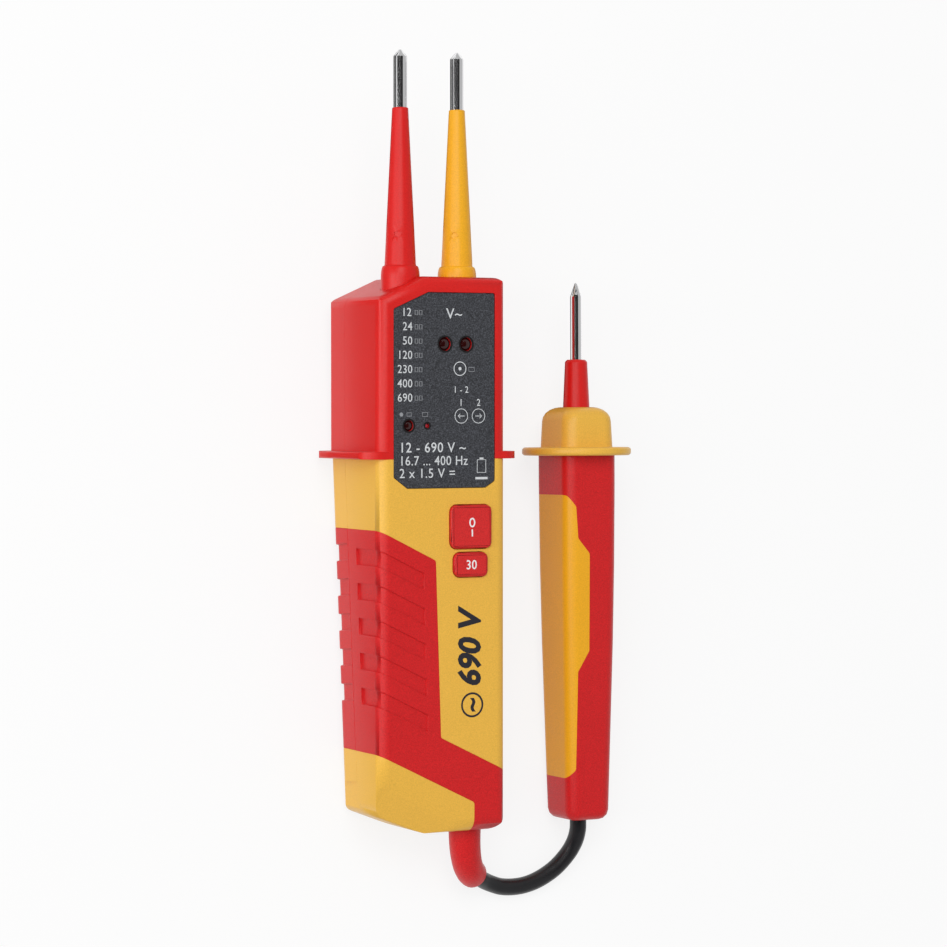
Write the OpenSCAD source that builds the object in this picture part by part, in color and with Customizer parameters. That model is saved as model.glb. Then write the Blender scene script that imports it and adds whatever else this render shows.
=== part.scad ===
// Two-pole voltage tester: a housing with two fixed test prongs, two keys and a lead to a hand probe.
// It lies on its back on the floor. X runs across the housing, Y towards the prongs, Z up.
// The origin is on the body's back, a little below the ridge where the head's back starts to rise.

/* [Housing] */
// Width of the head
head_w = 42.5; // [42:0.5:46]
// Depth of the head from its back to the front face
depth = 36; // [35.5:0.5:40]
// From the middle of the guard to the top of the head
head_l = 53; // [52:1:60]
// From the middle of the guard to the bottom end
body_l = 112.6; // [112:0.2:118]
// Wall of the housing shells
wall = 2.4; // [2.2:0.1:2.6]
// Slope of the body's back against the front face, in degrees
back_slope = 4.8; // [4.4:0.1:5]
// From the origin to the ridge between the body's back and the head's
ridge_y = 5; // [4:0.5:7]
// Rounding of the long edges
edge_r = 3.5; // [3.2:0.1:4]
// Rounding of the long edges at the body's back
back_r = 5; // [4:0.5:5.5]
// Height of the parting line between rear and front shells
seam_z = 12.3; // [12:0.1:13]
// Slope of the head's left shoulder, in degrees
shoulder_angle = 23.9; // [20:0.1:26]
// Where the shoulder meets the head's left side, from the guard
shoulder_y = 46.3; // [45:0.1:47]
// Rounding of the bottom right corner
toe_r = 6; // [5:0.5:7]
// Where the body's left side ends, up from the bottom end
heel_rise = 6.4; // [5.5:0.1:7]
// Slope of the bottom end's left part, in degrees
heel_angle = 21.5; // [18:0.5:24]
// Rounding of the bottom left corner
heel_r = 5; // [4:0.5:6]
// Rounding of the bottom end, seen from the side
foot_r = 4.5; // [4:0.1:5]
// Tilt of the bevel across the heel, in degrees
bevel_tilt = 26; // [20:1:32]
// Where the bevel's crease crosses the middle line, up from the bottom end
bevel_rise = 5.1; // [4:0.1:6]

/* [Guard] */
// How far the finger guard stands out of the head's sides
guard_reach = 5; // [4:0.5:7]
// Thickness of the finger guard
guard_t = 2.2; // [2:0.1:3]
// Rounding of the guard's corners
guard_r = 6; // [5:0.5:8]

/* [Grips] */
// Thickness of the soft grips
skin = 1.2; // [1:0.1:1.4]
// Slope of the grip's borders and windows, in degrees
grip_angle = 26.3; // [24:0.1:28]
// Upper corner of the front grip, below the guard
grip_top = 31.2; // [30:0.1:33]
// Lower corner of the front grip, up from the bottom end
grip_rise = 28.7; // [27:0.1:30]
// Left-right place of the front grip's upper corner
grip_x = -2.7; // [-4:0.1:-2]
// How much further right the lower corner is
grip_drift = 1.7; // [1:0.1:2.2]
// Corner where the grip's lower border turns down, up from the bottom end
toe_rise = 8.9; // [8:0.1:10]
// Left-right place of that corner
toe_x = 10.2; // [9:0.1:11]
// Number of windows in the front grip, and of grooves in the rear one
windows = 5; // [3:1:5]
// Height of each window
window_h = 4.9; // [4:0.1:5.5]
// Depth of each window
window_depth = 0.55; // [0.4:0.05:0.7]
// Depth of the grooves in the rear grip
groove_depth = 0.8; // [0.5:0.05:0.9]

/* [Display panel] */
// Left edge of the panel
panel_left = -16.6; // [-17:0.1:-16]
// Right edge of the panel
panel_right = 17.1; // [16.5:0.1:17.3]
// Top edge of the panel, above the guard
panel_top = 48.2; // [47:0.1:48.4]
// Bottom edge of the panel, below the guard
panel_low = 9.7; // [9:0.1:11]
// Depth of the recess that holds the panel
panel_recess = 0.9; // [0.8:0.05:1.1]
// Thickness of the panel
panel_t = 0.7; // [0.5:0.05:0.75]
// Radius of the two pointer lights
pointer_r = 2; // [1.6:0.1:2.3]
// Radius of the contact light
contact_r = 1.6; // [1.3:0.1:1.8]
// Radius of the battery light
dot_r = 0.7; // [0.5:0.05:0.9]
// Number of level lights in the scale
levels = 7; // [5:1:7]
// Spacing of the level lights
level_pitch = 4.25; // [4:0.05:4.3]

/* [Keys] */
// Size of the power key
power_size = [13.8, 13.1];
// Middle of the power key
power_at = [8.75, -21.3];
// Size of the test key
test_size = [11.4, 7.4];
// Middle of the test key
test_at = [8.67, -32.6];
// How far the keys stand out of the face
key_stand = 1.1; // [0.9:0.1:1.5]
// Travel of the keys
key_travel = 0.8; // [0.5:0.05:0.85]

/* [Prongs] */
// Distance between the two prongs
prong_pitch = 19; // [18:0.5:19.5]
// Depth of the prongs' axis behind the front face
prong_inset = 10; // [9.6:0.1:10.5]
// Radius of the bare pins
pin_r = 2; // [1.5:0.1:2.2]
// Bare length of each pin
pin_l = 17.2; // [12:0.2:19]
// Length of each insulating sleeve above the head
sleeve_l = 50.2; // [40:0.2:60]
// Radius of a sleeve at its foot
sleeve_r0 = 4.7; // [4.3:0.1:5]
// Radius of a sleeve at its tip
sleeve_r1 = 2.4; // [2.2:0.1:2.8]
// Radius of the sleeve's skirt
skirt_r = 5.8; // [5.4:0.1:6.2]

/* [Hand probe] */
// Width of the handle at its top
handle_w = 18.5; // [17.5:0.5:20]
// Depth of the handle at its top
handle_d = 21; // [20:0.5:23]
// Length of the handle below the guard disc
handle_l = 113.9; // [108:0.1:122]
// How much narrower the handle is at its tail
handle_taper = 3.7; // [3:0.1:4.2]
// Rounding of the handle's long edges
handle_r = 4; // [3.5:0.1:4.5]
// Radius of the guard disc
disc_r = 16.9; // [16:0.1:19]
// Thickness of the guard disc
disc_t = 2.5; // [2:0.1:3]
// Height of the nose above the guard disc
nose_l = 12.4; // [11:0.2:14]
// Length of the insulating cone
cone_l = 14.7; // [12:0.2:18]
// Radius of the probe's pin
tip_r = 1.75; // [1.4:0.05:2]
// Bare length of the probe's pin
tip_l = 23.8; // [20:0.2:28]
// Middle of the guard disc, seen from above
disc_at = [56.2, 5.2];

/* [Lead] */
// Radius of the lead
lead_r = 2.6; // [2.2:0.1:2.7]
// Radius of the strain relief at the housing
boot_r0 = 4.9; // [4.5:0.1:5.2]
// Radius of the strain relief at its end
boot_r1 = 4.35; // [4:0.05:4.6]
// Left-right place where the lead leaves the housing
lead_x = 13.2; // [12.5:0.1:13.6]
// Depth behind the front face where the lead leaves the housing
lead_inset = 12; // [11.5:0.1:12.5]

/* [Cells] */
// Radius of a cell
cell_r = 5.25; // [5:0.05:5.3]
// Length of a cell
cell_l = 44.5; // [42:0.5:45]
// From the bottom end up to the cell bay
bay_rise = 31.6; // [31:0.2:33]
// Thickness of the cell cover
cover_t = 2.4; // [2.2:0.1:2.6]

/* [Hidden] */

$fn = 48;
far = 200;                           // reach of a cutting block, well past the housing
fit = 0.1;                           // clearance of pieces that slot into each other
slide_gap = 0.15;                    // clearance all round a key or the cell cover
arc_steps = 6;                       // flats in each rounded corner of an outline
half_w = head_w / 2;
joint_y = -guard_t / 2;              // where the head's shells meet the body's
front_in = depth - wall;             // inside of the front wall
slope = tan(grip_angle);
prong_z = depth - prong_inset;
toe_border = body_l - toe_rise;
grip_low = body_l - grip_rise;
window_pitch = (grip_low - grip_top - 0.2) / windows;

// ---------- frames ----------
// The housing is drawn with its front face level at z = depth, the middle of the guard at y = 0.
// Its back parts are drawn with the body's back level at z = 0.

// From the frame of the back parts to the housing's.
module back_place() translate([0, joint_y, 0]) rotate([-back_slope, 0, 0]) translate([0, -joint_y, 0])
    children();

// From the housing's frame to the floor, where the body's back lies flat.
module housing_place() translate([0, ridge_y, 0]) rotate([back_slope, 0, 0]) translate([0, -joint_y, 0])
    children();
module bay_place() translate([0, ridge_y - joint_y, 0]) children();
function on_floor(p) = [p.x, ridge_y + (p.y - joint_y) * cos(back_slope) - p.z * sin(back_slope),
    (p.y - joint_y) * sin(back_slope) + p.z * cos(back_slope)];

// Height of the body's back at y, in the housing's frame.
function back_z(y) = (joint_y - y) * tan(back_slope);

// ---------- plan outlines ----------

function unit(v) = v / norm(v);

// The arc that rounds corner c between its neighbours p and n with radius r.
function corner_arc(p, c, n, r) =
    let (a = unit(p - c), b = unit(n - c), half = acos(a * b) / 2,
         mid = c + unit(a + b) * r / sin(half), from = c + a * r / tan(half) - mid,
         to = c + b * r / tan(half) - mid, start = atan2(from.y, from.x),
         turn = atan2(from.x * to.y - from.y * to.x, from * to))
    [for (k = [0:arc_steps]) let (a = start + turn * k / arc_steps) mid + r * [cos(a), sin(a)]];

// A closed outline whose points [x, y, r] are rounded by their own radius r.
function soften(pts) = let (n = len(pts), flat = [for (p = pts) [p.x, p.y]])
    [for (i = [0:n - 1]) each pts[i].z > 0
        ? corner_arc(flat[(i + n - 1) % n], flat[i], flat[(i + 1) % n], pts[i].z)
        : [flat[i]]];

// The head seen from the front, drawn in by i.
function head_outline(i) = let (
        left = -half_w + i,
        drop = shoulder_y - i / cos(shoulder_angle) + i * tan(shoulder_angle),
        top = head_l - i,
        shoulder_end = (top - drop) / tan(shoulder_angle) + left)
    soften([[left, joint_y, 0], [half_w - i, joint_y, 0], [half_w - i, top, edge_r - i],
            [shoulder_end, top, edge_r], [left, drop, edge_r]]);

// The body seen from the front, drawn in by i.
function body_outline(i) = let (
        low = -body_l + i,
        left = -half_w + i,
        heel_y = -body_l + heel_rise + i / cos(heel_angle) - i * tan(heel_angle),
        heel_end = left + (heel_y - low) / tan(heel_angle))
    soften([[left, heel_y, heel_r - i], [heel_end, low, 2 * heel_r], [half_w - i, low, toe_r - i],
            [half_w - i, joint_y, 0], [left, joint_y, 0]]);

// The body seen from the side, drawn in by i. The back is drawn a little too deep, and cut by body_form.
function body_side(i) = let (low = -body_l + i, skew = i / cos(back_slope) - 0.3)
    soften([[joint_y, depth - i, 0], [joint_y, back_z(joint_y) + skew, 0],
            [low, back_z(low) + skew, foot_r - i], [low, depth - i, foot_r - i]]);

// The grip seen from the front: its upper border slopes down to a corner, its lower one to the toe.
grip_far = -30;
function lower_border(x) = -toe_border + (toe_x - x) * slope;
function upper_border(x) = -grip_top + (grip_x - x) * slope;
front_grip_outline = soften([[grip_far, upper_border(grip_far), 0], [grip_far, lower_border(grip_far), 0],
    [toe_x, -toe_border, 1], [toe_x, -body_l - 10, 0], [half_w + 5, -body_l - 10, 0],
    [half_w + 5, -grip_low - (half_w + 5 - grip_x - grip_drift) * slope, 0],
    [grip_x + grip_drift, -grip_low, 1], [grip_x, -grip_top, 1]]);
rear_grip_top = upper_border(-half_w);
rear_grip_outline = soften([[grip_far, rear_grip_top, 0], [grip_far, lower_border(grip_far), 0],
    [toe_x, -toe_border, 1], [toe_x, -body_l - 10, 0], [half_w + 5, -body_l - 10, 0],
    [half_w + 5, rear_grip_top, 0]]);

// The display panel, grown by g. Its left shoulder follows the head's.
function panel_outline(g) = let (l = panel_left - g, r = panel_right + g, t = panel_top + g,
        b = -panel_low - g, drop = 5.1, run = drop / tan(shoulder_angle))
    soften([[l, t - drop, 0.8], [l, b + 3.3, 0.8], [l + 4.5, b, 0.8], [r - 3.2, b, 0.8],
            [r, b + 2, 0.8], [r, t, 0.6], [l + run, t, 1]]);

// ---------- solid helpers ----------

// A flat rectangle with round corners.
module round_rect(x0, x1, y0, y1, radius) {
    r = max(radius, 0.3);
    translate([x0 + r, y0]) square([x1 - x0 - 2 * r, y1 - y0]);
    translate([x0, y0 + r]) square([x1 - x0, y1 - y0 - 2 * r]);
    for (x = [x0 + r, x1 - r], y = [y0 + r, y1 - r]) translate([x, y]) circle(r);
}

// A bar along Y whose section in XZ is a rounded rectangle.
module bar_y(x0, x1, z0, z1, r, y0, y1)
    translate([0, y1, 0]) rotate([90, 0, 0]) linear_extrude(y1 - y0) round_rect(x0, x1, z0, z1, r);

// A bar along X whose section in YZ is a rounded rectangle.
module bar_x(y0, y1, z0, z1, r, x0, x1)
    translate([x0, 0, 0]) rotate([90, 0, 90]) linear_extrude(x1 - x0) round_rect(y0, y1, z0, z1, r);

// A block between two corners.
module block(lo, hi) translate(lo) cube(hi - lo);

// Everything in front of the parting line or behind it. The body's line follows its back.
module front_half() intersection() {
    children();
    block([-far, -far, seam_z], [far, far, far]);
}
module rear_half() intersection() {
    children();
    block([-far, -far, -far], [far, far, seam_z]);
}
module body_front_half() intersection() {
    children();
    back_place() block([-far, -far, seam_z], [far, far, far]);
}
module body_rear_half() intersection() {
    children();
    back_place() block([-far, -far, -far], [far, far, seam_z]);
}

// A cylinder that stands on the floor of the row at a point of the plan.
module post(at, r, z0, z1) translate([at.x, at.y, z0]) cylinder(r = r, h = z1 - z0);

// A solid turned about a line along Y; profile points are [radius, y].
module turned_y(profile) rotate([-90, 0, 0]) mirror([0, 0, 0]) rotate_extrude() polygon(profile);

// ---------- housing forms, drawn in by i ----------

module head_form(i) intersection() {
    linear_extrude(depth) polygon(head_outline(i));
    bar_y(-half_w + i, half_w - i, i, depth - i, edge_r - i, joint_y, head_l);
    bar_x(-far, head_l - i, i, depth - i, edge_r - i, -half_w, half_w);
    translate([-half_w, shoulder_y, 0]) rotate([0, 0, shoulder_angle])
        bar_x(-far, -i, i, depth - i, edge_r - i, -far, far);
}

// The sloping face across the heel, as a block to cut away.
module heel_bevel(i) translate([0, -body_l + bevel_rise, depth]) rotate([0, 0, -grip_angle])
    rotate([bevel_tilt, 0, 0]) block([-far, -far, -i], [far, 0, far]);

module body_form(i) difference() {
    intersection() {
        linear_extrude(depth) polygon(body_outline(i));
        bar_y(-half_w + i, half_w - i, -far, depth - i, edge_r - i, -body_l, joint_y);
        back_place() bar_y(-half_w + i, half_w - i, i, far, back_r - i, -far, far);
        translate([-far, 0, 0]) rotate([90, 0, 90]) linear_extrude(2 * far) polygon(body_side(i));
    }
    heel_bevel(i);
}

module guard_form() intersection() {
    bar_y(-half_w - guard_reach, half_w + guard_reach, 0, depth, guard_r, joint_y, -joint_y);
    linear_extrude(depth) round_rect(-half_w - guard_reach, half_w + guard_reach, joint_y, -joint_y,
                                     guard_t * 0.4);
}

// A collar inside the joint that lines the head up with the body.
module spigot() {
    lap = 5;
    collar_t = 1.2;
    intersection() {
        difference() {
            head_form(wall + fit);
            head_form(wall + collar_t);
        }
        block([-far, joint_y, 0], [far, joint_y + lap, far]);
    }
    intersection() {
        difference() {
            body_form(wall - fit);
            body_form(wall + collar_t);
        }
        block([-far, joint_y - lap, 0], [far, joint_y, far]);
    }
}

// ---------- seal in the parting line ----------

seal_in = 1.35;                      // from the outside to the seal, inside the grips' skin
seal_w = 0.6;
seal_t = 1;

module seal_band(outer, inner) linear_extrude(depth) difference() {
    polygon(outer);
    polygon(inner);
}
module seal_layer(g) block([-far, -far, seam_z - seal_t / 2 - g], [far, far, seam_z + seal_t / 2 + g]);
module seal_ring(g) {
    intersection() {
        seal_band(head_outline(seal_in - g), head_outline(seal_in + seal_w + g));
        seal_layer(g);
    }
    intersection() {
        seal_band(body_outline(seal_in - g), body_outline(seal_in + seal_w + g));
        back_place() seal_layer(g);
    }
}

module housing_seal() color("dimgray") housing_place() difference() {
    seal_ring(0);
    boot_hole();
}

// The strain relief passes through the bottom end, across the parting line.
module boot_hole() rod_y(lead_x, -body_l - 1, -body_l + wall + 3.4, depth - lead_inset, boot_r0 + fit);

// ---------- housing screws ----------

head_screw_at = [[-16, 30], [16, 30]];
foot_screw_at = [[-10.5, 12.6 - body_l], [4, 12.6 - body_l]];
screw_r = 1.25;
screw_head_r = 2.6;
screw_head_t = 1.8;
screw_sink = 2;                      // depth of the counterbore
boss_r = 2.9;
screw_end = 20;

module rear_boss(at) post(at, boss_r, screw_sink, seam_z);
module front_boss(at) post(at, boss_r, seam_z, depth);
module rear_boss_bore(at) {
    post(at, screw_r + 0.25, 0, seam_z + 1);
    post(at, screw_head_r + 0.3, -1, screw_sink);
}
module front_boss_bore(at) post(at, screw_r + fit / 2, seam_z - 1, screw_end + 1);

module cross_slot(at, z, size) translate([at.x, at.y, z]) for (a = [0, 90]) rotate([0, 0, a])
    block([-size, -0.35, -1], [size, 0.35, 1]);

module housing_screw(at) difference() {
    union() {
        post(at, screw_head_r, screw_sink - screw_head_t, screw_sink);
        post(at, screw_r, screw_sink, screw_end);
    }
    cross_slot(at, screw_sink - screw_head_t, 1.7);
}
module housing_screws() color("silver") housing_place() {
    for (at = head_screw_at) housing_screw(at);
    back_place() for (at = foot_screw_at) housing_screw(at);
}

// ---------- cell bay ----------

plate_t = 0.5;                       // contact plates
spring_l = 4.5;
bay_l = cell_l + spring_l + 2 * plate_t;
bay_w = 4 * cell_r + 1.4;
bay_low = -body_l + bay_rise;
bay_top = bay_low + bay_l;
bay_wall = 1.2;
cell_x = cell_r + 0.2;
ledge_z = cover_t + fit;
ledge_t = 1.6;
cell_z = ledge_z + 0.6 + cell_r;
bay_roof = cell_z + cell_r + 0.5;
cover_w = bay_w + 4.6;
cover_top = bay_top + 3;
cover_low = bay_low - 8.5;
cover_screw_at = [0, bay_low - 4.5];
board_z = 24 + depth - 36;           // underside of the main board
board_t = 1.6;
board_top = board_z + board_t;
boss_end = 9;

module cover_plan(g) round_rect(-cover_w / 2 - g, cover_w / 2 + g, cover_low - g, cover_top + g, 2 + g);

// The tub that holds the cells and its ledge for the cover.
module cell_tub() {
    difference() {
        union() {
            translate([0, 0, skin + 0.3]) linear_extrude(ledge_z + ledge_t - skin - 0.3) cover_plan(1);
            block([-bay_w / 2 - bay_wall, bay_low - bay_wall, ledge_z],
                  [bay_w / 2 + bay_wall, bay_top + bay_wall, bay_roof + bay_wall]);
            post(cover_screw_at, 3, ledge_z, boss_end);
        }
        block([-bay_w / 2, bay_low, -1], [bay_w / 2, bay_top, bay_roof]);
        post(cover_screw_at, screw_r + fit, 0, boss_end - 1);
        cover_seal_ring(0.05);
    }
}
module board_posts() for (x = [-8, 8], y = [bay_top - 7, bay_low + 7])
    post([x, y], 2, bay_roof + bay_wall / 2 + back_z(y), board_z);

module cover_seal_ring(g) {
    ring_w = 0.9;
    translate([0, 0, ledge_z - g]) linear_extrude(0.9 + 2 * g) difference() {
        round_rect(-bay_w / 2 - 1.6 - g, bay_w / 2 + 1.6 + g, bay_low - 1.6 - g, bay_top + 1.6 + g,
                   1.2 + g);
        round_rect(-bay_w / 2 - 1.6 + ring_w + g, bay_w / 2 + 1.6 - ring_w - g,
                   bay_low - 1.6 + ring_w + g, bay_top + 1.6 - ring_w - g, 0.4 - g);
    }
}

module cell_cover_seal() color("dimgray") bay_place() cover_seal_ring(0);

// The grooves that run right across the back, seen as one cutting body.
function groove_y(k) = rear_grip_top - 5.6 - k * window_pitch;
module rear_grooves() for (k = [0:windows - 1])
    block([-far, groove_y(k) - window_h, -1], [far, groove_y(k), seam_z - 1]);

module cell_cover() color("firebrick") bay_place() difference() {
    linear_extrude(cover_t) cover_plan(0);
    intersection() {
        rear_grooves();
        block([-far, -far, -1], [far, far, groove_depth]);
    }
    post(cover_screw_at, screw_r + 0.25, -1, cover_t + 1);
    post(cover_screw_at, screw_head_r + 0.3, -1, 1.5);
}

module cell_cover_screw() color("silver") bay_place() difference() {
    union() {
        post(cover_screw_at, screw_head_r, 0.2, 1.5);
        post(cover_screw_at, screw_r, 1.5, boss_end - 1.4);
    }
    translate([cover_screw_at.x, cover_screw_at.y, 0.2]) block([-3, -0.5, -1], [3, 0.5, 0.7]);
}

// A dry cell along Y from y0, its nub at the far end when up is 1 and at the near end when it is -1.
module dry_cell(x, y0, up) {
    nub_l = 0.8;
    shell_l = cell_l - nub_l;
    translate([x, up > 0 ? y0 : y0 + cell_l, cell_z]) rotate([up > 0 ? -90 : 90, 0, 0]) {
        cylinder(r = cell_r, h = shell_l);
        cylinder(r = 1.9, h = cell_l);
    }
}
module cell_left() color("darkslategray") bay_place() dry_cell(-cell_x, bay_top - plate_t - cell_l, 1);
module cell_right() color("darkslategray") bay_place() dry_cell(cell_x, bay_low + plate_t, -1);

module cell_contacts() color("silver") bay_place()
    for (x = [-cell_x, cell_x], y = [bay_low, bay_top - plate_t])
    block([x - 4, y, ledge_z + ledge_t + 0.4], [x + 4, y + plate_t, bay_roof - 0.6]);

// ---------- tubes swept along points ----------

// Direction of a route at point k.
function heading(pts, k) = unit(pts[min(k + 1, len(pts) - 1)] - pts[max(k - 1, 0)]);

// Side vectors carried from one point of a route to the next, so that the tube doesn't twist.
function carried(pts, k) = k == 0
    ? unit(cross(heading(pts, 0), abs(heading(pts, 0).z) < 0.9 ? [0, 0, 1] : [1, 0, 0]))
    : let (h = heading(pts, k), s = carried(pts, k - 1)) unit(s - (s * h) * h);

// One closed tube along pts, with radius radii[k] at point k.
module swept(pts, radii, sides) {
    n = len(pts);
    rings = [for (k = [0:n - 1]) let (h = heading(pts, k), s = carried(pts, k), t = cross(h, s))
        for (j = [0:sides - 1]) pts[k] + radii[k] * (cos(360 * j / sides) * s + sin(360 * j / sides) * t)];
    walls = [for (k = [0:n - 2], j = [0:sides - 1]) let (a = k * sides + j, b = k * sides + (j + 1) % sides)
        each [[a, b + sides, b], [a, a + sides, b + sides]]];
    ends = [[for (j = [0:sides - 1]) j], [for (j = [sides - 1:-1:0]) (n - 1) * sides + j]];
    polyhedron(rings, concat(walls, ends));
}

// The same tube with a bore of one radius right through it.
module hose(pts, radii, bore, sides) {
    n = len(pts);
    rings = [for (k = [0:n - 1]) let (h = heading(pts, k), s = carried(pts, k), t = cross(h, s))
        for (r = [radii[k], bore], j = [0:sides - 1])
            pts[k] + r * (cos(360 * j / sides) * s + sin(360 * j / sides) * t)];
    walls = [for (k = [0:n - 2], j = [0:sides - 1])
        let (a = 2 * k * sides + j, b = 2 * k * sides + (j + 1) % sides, up = 2 * sides)
        each [[a, b + up, b], [a, a + up, b + up],
              [b + sides, b + sides + up, a + sides], [a + sides, b + sides + up, a + sides + up]]];
    lids = [for (k = [0, n - 1], j = [0:sides - 1])
        let (a = 2 * k * sides + j, b = 2 * k * sides + (j + 1) % sides)
        k == 0 ? [a, b, b + sides, a + sides] : [b, a, a + sides, b + sides]];
    polyhedron(rings, concat(walls, lids));
}

function ramp(a, b, n) = [for (k = [0:n]) a + (b - a) * k / n];

// A contact spring that narrows from its plate to the cell.
spring_turns = 3.5;
module contact_spring(x, y0, up) {
    steps = spring_turns * 8;
    wire = 0.3;
    pts = [for (k = [0:steps]) let (a = 360 * spring_turns * k / steps, r = 3.2 - 1.2 * k / steps)
        [x + r * cos(a), y0 + up * (wire + (spring_l - 2 * wire) * k / steps), cell_z + r * sin(a)]];
    swept(pts, [for (p = pts) wire], 6);
}
module cell_springs() color("silver") bay_place() {
    contact_spring(-cell_x, bay_low + plate_t, 1);
    contact_spring(cell_x, bay_top - plate_t, -1);
}

// ---------- shells ----------

// The wall of a housing form, with what the soft grip leaves of it.
module body_wall(grip) difference() {
    body_form(0);
    body_form(wall);
    difference() {
        linear_extrude(depth + 1) polygon(grip);
        body_form(skin);
    }
}

module key_hole(at, size) translate([at.x, at.y, front_in - 1])
    linear_extrude(wall + 2) key_plan(size, slide_gap);

module front_shell() color("goldenrod") housing_place() difference() {
    union() {
        body_front_half() body_wall(front_grip_outline);
        body_front_half() spigot();
        intersection() {
            back_place() for (at = foot_screw_at) front_boss(at);
            body_form(wall / 2);
        }
    }
    translate([0, 0, depth - panel_recess]) linear_extrude(2) polygon(panel_outline(fit));
    key_hole(power_at, power_size);
    key_hole(test_at, test_size);
    back_place() for (at = foot_screw_at) front_boss_bore(at);
    boot_hole();
    seal_ring(0.05);
}

module rear_shell() color("goldenrod") housing_place() difference() {
    union() {
        body_rear_half() body_wall(rear_grip_outline);
        body_rear_half() spigot();
        back_place() cell_tub();
        back_place() for (at = foot_screw_at) rear_boss(at);
        board_posts();
    }
    back_place() cover_hole();
    back_place() for (at = foot_screw_at) rear_boss_bore(at);
    boot_hole();
    back_place() heel_relief();
    seal_ring(0.05);
}
module cover_hole() translate([0, 0, -1]) linear_extrude(ledge_z + 1) cover_plan(slide_gap);

// The rear shell steps in a little on the left, at the heel.
heel_step_y = 13.8 - body_l;
module heel_relief() block([-half_w - 5, -far, -1], [-half_w + 0.65, heel_step_y, seam_z + 1]);

module head_front_shell() color("red") housing_place() difference() {
    union() {
        front_half() difference() {
            union() {
                head_form(0);
                guard_form();
            }
            head_form(wall);
        }
        intersection() {
            for (at = head_screw_at) front_boss(at);
            head_form(wall / 2);
        }
    }
    translate([0, 0, depth - panel_recess]) linear_extrude(2) polygon(panel_outline(fit));
    for (at = pointer_at) post(at, pointer_r + fit, front_in - 1, depth);
    post(contact_at, contact_r + fit, front_in - 1, depth);
    post(battery_at, dot_r + fit, front_in - 1, depth);
    for (k = [0:levels - 1]) level_window(k, fit);
    for (at = head_screw_at) front_boss_bore(at);
    for (s = [-1, 1]) translate([s * prong_pitch / 2, head_l - wall - 12, prong_z]) rotate([-90, 0, 0])
        cylinder(r = skirt_r + fit, h = wall + 30);
    seal_ring(0.05);
}

module head_rear_shell() color("red") housing_place() difference() {
    union() {
        rear_half() difference() {
            union() {
                head_form(0);
                guard_form();
            }
            head_form(wall);
        }
        for (at = head_screw_at) rear_boss(at);
        for (x = [-9, 9]) post([x, board_high - 18], 2, wall / 2, board_z);
    }
    for (at = head_screw_at) rear_boss_bore(at);
    seal_ring(0.05);
}

// ---------- grips ----------

window_drift = grip_drift * window_pitch / (grip_low - grip_top);
window_end = -6.6;                   // right end of the first window
window_start_z = 17.6;               // the windows start this far up the side
module grip_windows() intersection() {
    window_prisms();
    back_place() block([-far, -far, window_start_z], [far, far, far]);
}
module window_prisms() for (k = [0:windows - 1]) {
    x = window_end + k * window_drift;
    y = -grip_top - 3.7 - k * window_pitch;
    linear_extrude(depth + 1) polygon(soften([[x, y, 0.4],
        [grip_far, y + (x - grip_far) * slope, 0], [grip_far, y - window_h + (x - grip_far) * slope, 0],
        [x, y - window_h, 0.4]]));
}

module front_grip() color("red") housing_place() difference() {
    body_front_half() intersection() {
        body_form(0);
        linear_extrude(depth) polygon(front_grip_outline);
    }
    body_form(skin);
    difference() {
        grip_windows();
        body_form(window_depth);
    }
    boot_hole();
}

module rear_grip() color("red") housing_place() difference() {
    body_rear_half() intersection() {
        body_form(0);
        linear_extrude(depth) polygon(rear_grip_outline);
    }
    body_form(skin);
    difference() {
        back_place() rear_grooves();
        body_form(groove_depth);
    }
    back_place() cover_hole();
    back_place() for (at = foot_screw_at) rear_boss_bore(at);
    boot_hole();
}

// ---------- display ----------

pointer_at = [[0.4, 33], [7.5, 33]];
contact_at = [-11.6, 8.8];
battery_at = [-5.5, 8.8];
level_x = -8.2;
level_top = 38.8;
function level_y(k) = level_top - k * level_pitch;

module level_window(k, g) block([level_x - 1 - g, level_y(k) - 0.6 - g, front_in - 1],
    [level_x + 1 + g, level_y(k) + 0.6 + g, depth]);

module display_panel() color("darkslategray") housing_place() difference() {
    translate([0, 0, depth - panel_recess]) linear_extrude(panel_t) polygon(panel_outline(0));
    for (at = pointer_at) post(at, pointer_r + fit, front_in, depth + 1);
    post(contact_at, contact_r + fit, front_in, depth + 1);
    post(battery_at, dot_r + fit, front_in, depth + 1);
}

// A lens with a domed end, set a little below the panel, on a light pipe that reaches the board.
module lens(at, r) {
    post(at, r, board_top + led_t, depth - panel_recess - 0.2);
    translate([at.x, at.y, depth - panel_recess - 0.2 - r * 0.6]) intersection() {
        sphere(r * 1.17);
        post([0, 0], r, 0, r * 2);
    }
}

module pointer_lenses() color("maroon") housing_place() for (at = pointer_at) lens(at, pointer_r);
module contact_lens() color("maroon") housing_place() lens(contact_at, contact_r);
module battery_lens() color("tomato") housing_place() lens(battery_at, dot_r);

module light_guide() color("whitesmoke") housing_place() {
    for (k = [0:levels - 1]) block([level_x - 1, level_y(k) - 0.6, front_in - 1.2],
        [level_x + 1, level_y(k) + 0.6, depth - panel_recess]);
    block([level_x - 1.6, level_y(levels - 1) - 1.6, front_in - 2.4],
        [level_x + 1.6, level_top + 1.6, front_in - 0.2]);
    for (k = [1, levels - 2]) post([level_x, level_y(k) - level_pitch / 2], 0.9, board_top, front_in - 2);
}

// ---------- keys ----------

function key_points(size, g) = [for (s = [[-1, -1], [1, -1], [1, 1], [-1, 1]])
    [s.x * (size.x / 2 + g), s.y * (size.y / 2 + g), 2.2 + g]];
module key_plan(size, g) polygon(soften(key_points(size, g)));

key_flange_t = 1.2;
switch_t = 3.5;
plunger_top = board_top + switch_t + 1.2;

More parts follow.
